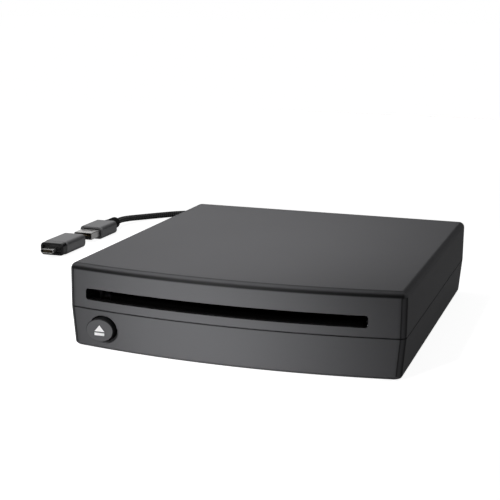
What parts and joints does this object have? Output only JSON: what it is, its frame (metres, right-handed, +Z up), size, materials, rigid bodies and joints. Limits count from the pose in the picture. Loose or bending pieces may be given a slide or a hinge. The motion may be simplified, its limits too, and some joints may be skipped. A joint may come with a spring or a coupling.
{
  "type": "car dvd player",
  "caption": "Slim slot-loading disc drive in a flat dark case with an eject button, a braided USB lead and a loose USB-C adapter.",
  "frame": {"origin": "centre of the case in plan, at the plane that its rubber feet stand on", "axes": "+Z up, -Y out of the front face with the disc slot, +X to the right seen from the front"},
  "size_m": [0.2508, 0.322, 0.038],
  "materials": {
    "shell_plastic": "fine satin, dark grey",
    "rubber": "matt black",
    "dark_steel": "dark plated",
    "felt": "short black pile",
    "symbol_white": "white print",
    "circuit_board": "green solder mask",
    "black_plastic": "black moulded",
    "gloss_black": "glossy black moulded",
    "nylon": "natural nylon",
    "steel": "zinc plated sheet",
    "lens_glass": "coated lens",
    "braid": "woven nylon sleeve, black and grey",
    "nickel": "satin nickel plated",
    "anodised_aluminium": "space grey anodised, fine blasted"
  },
  "bodies": {
    "root": {"upper_shell": "shell_plastic", "lower_shell": "shell_plastic", "rubber_foot_1": "rubber", "rubber_foot_2": "rubber", "rubber_foot_3": "rubber", "rubber_foot_4": "rubber", "case_screw_1": "dark_steel", "case_screw_2": "dark_steel", "case_screw_3": "dark_steel", "case_screw_4": "dark_steel", "slot_felt_lower": "felt", "slot_felt_upper": "felt", "front_board": "circuit_board", "eject_switch": "black_plastic", "main_board": "circuit_board", "decoder_chip": "black_plastic", "cord_header": "nylon", "deck_frame": "steel", "disc_guide": "black_plastic", "loading_motor": "steel", "drive_belt": "rubber", "traverse_plate": "steel", "traverse_damper_1": "rubber", "traverse_damper_2": "rubber", "traverse_damper_3": "rubber", "spindle_motor": "dark_steel", "guide_rod_left": "steel", "guide_rod_right": "steel", "feed_motor": "steel", "clamp_pin": "steel", "clamp_spring": "dark_steel", "cord_gland": "rubber", "cord_near": "braid", "cord_coil": "braid", "cord_tie": "black_plastic", "cord_far": "braid", "plug_boot": "rubber", "plug_housing": "anodised_aluminium", "plug_shell": "nickel", "plug_tongue": "black_plastic"},
    "eject_button": {"eject_button": "shell_plastic", "eject_triangle": "symbol_white", "eject_bar": "symbol_white"},
    "switch_plunger": {"switch_plunger": "nylon"},
    "roller": {"loading_roller": "rubber", "roller_shaft": "steel", "roller_gear": "nylon"},
    "idler": {"idler_pulley": "nylon"},
    "motor_pulley": {"motor_pulley": "steel"},
    "turntable": {"turntable": "black_plastic"},
    "clamp_arm": {"clamp_arm": "steel"},
    "clamper": {"clamper": "nylon"},
    "pickup_sled": {"pickup_sled": "black_plastic"},
    "lens": {"lens_holder": "black_plastic", "pickup_lens": "lens_glass"},
    "lead_screw": {"lead_screw": "steel"},
    "adapter": {"adapter_housing": "anodised_aluminium", "adapter_core": "gloss_black", "usb_c_shell": "nickel", "usb_c_insert": "black_plastic"}
  },
  "joints": [
    {"name": "eject_press", "type": "slide", "parent": "root", "child": "eject_button", "axis": [0, 1, 0], "range_m": [0, 0.0005], "stiffness_N_per_m": 1500, "springref_m": -0.0005},
    {"name": "plunger_press", "type": "slide", "parent": "root", "child": "switch_plunger", "axis": [0, 1, 0], "range_m": [0, 0.0005]},
    {"name": "roller_spin", "type": "hinge", "parent": "root", "child": "roller", "pos_m": [-0.0032, -0.06, 0.02], "axis": [1, 0, 0], "continuous": true},
    {"name": "idler_spin", "type": "hinge", "parent": "root", "child": "idler", "pos_m": [0.062, -0.05314, 0.01314], "axis": [1, 0, 0], "continuous": true},
    {"name": "motor_spin", "type": "hinge", "parent": "root", "child": "motor_pulley", "pos_m": [0.062, -0.038, 0.0163], "axis": [1, 0, 0], "continuous": true},
    {"name": "turntable_spin", "type": "hinge", "parent": "root", "child": "turntable", "pos_m": [-0.0032, 0.002, 0.024], "axis": [0, 0, 1], "continuous": true},
    {"name": "clamp_swing", "type": "hinge", "parent": "root", "child": "clamp_arm", "pos_m": [-0.0032, 0.06, 0.0315], "axis": [1, 0, 0], "range_deg": [0, 2.8], "stiffness_Nm_per_rad": 0.05, "springref_deg": -17.19},
    {"name": "clamper_spin", "type": "hinge", "parent": "clamp_arm", "child": "clamper", "pos_m": [-0.0032, 0.002, 0.0315], "axis": [0, 0, 1], "continuous": true},
    {"name": "sled_slide", "type": "slide", "parent": "root", "child": "pickup_sled", "axis": [0, 1, 0], "range_m": [0, 0.034]},
    {"name": "screw_turn", "type": "hinge", "parent": "root", "child": "lead_screw", "pos_m": [0.0278, 0.04, 0.016], "axis": [0, 1, 0], "range_deg": [0, 4081]},
    {"name": "lens_focus", "type": "slide", "parent": "pickup_sled", "child": "lens", "axis": [0, 0, 1], "range_m": [-0.0005, 0.0005], "stiffness_N_per_m": 60},
    {"name": "adapter_slide", "type": "slide", "parent": "root", "child": "adapter", "axis": [0, 1, 0], "range_m": [0, 0.0237]}
  ],
  "couplings": [
    {"joint": "plunger_press", "follows": "eject_press", "ratio": 1},
    {"joint": "idler_spin", "follows": "roller_spin", "ratio": -1.6667},
    {"joint": "motor_spin", "follows": "roller_spin", "ratio": -5.6667},
    {"joint": "screw_turn", "follows": "sled_slide", "rad_per_m": 2094.4}
  ]
}
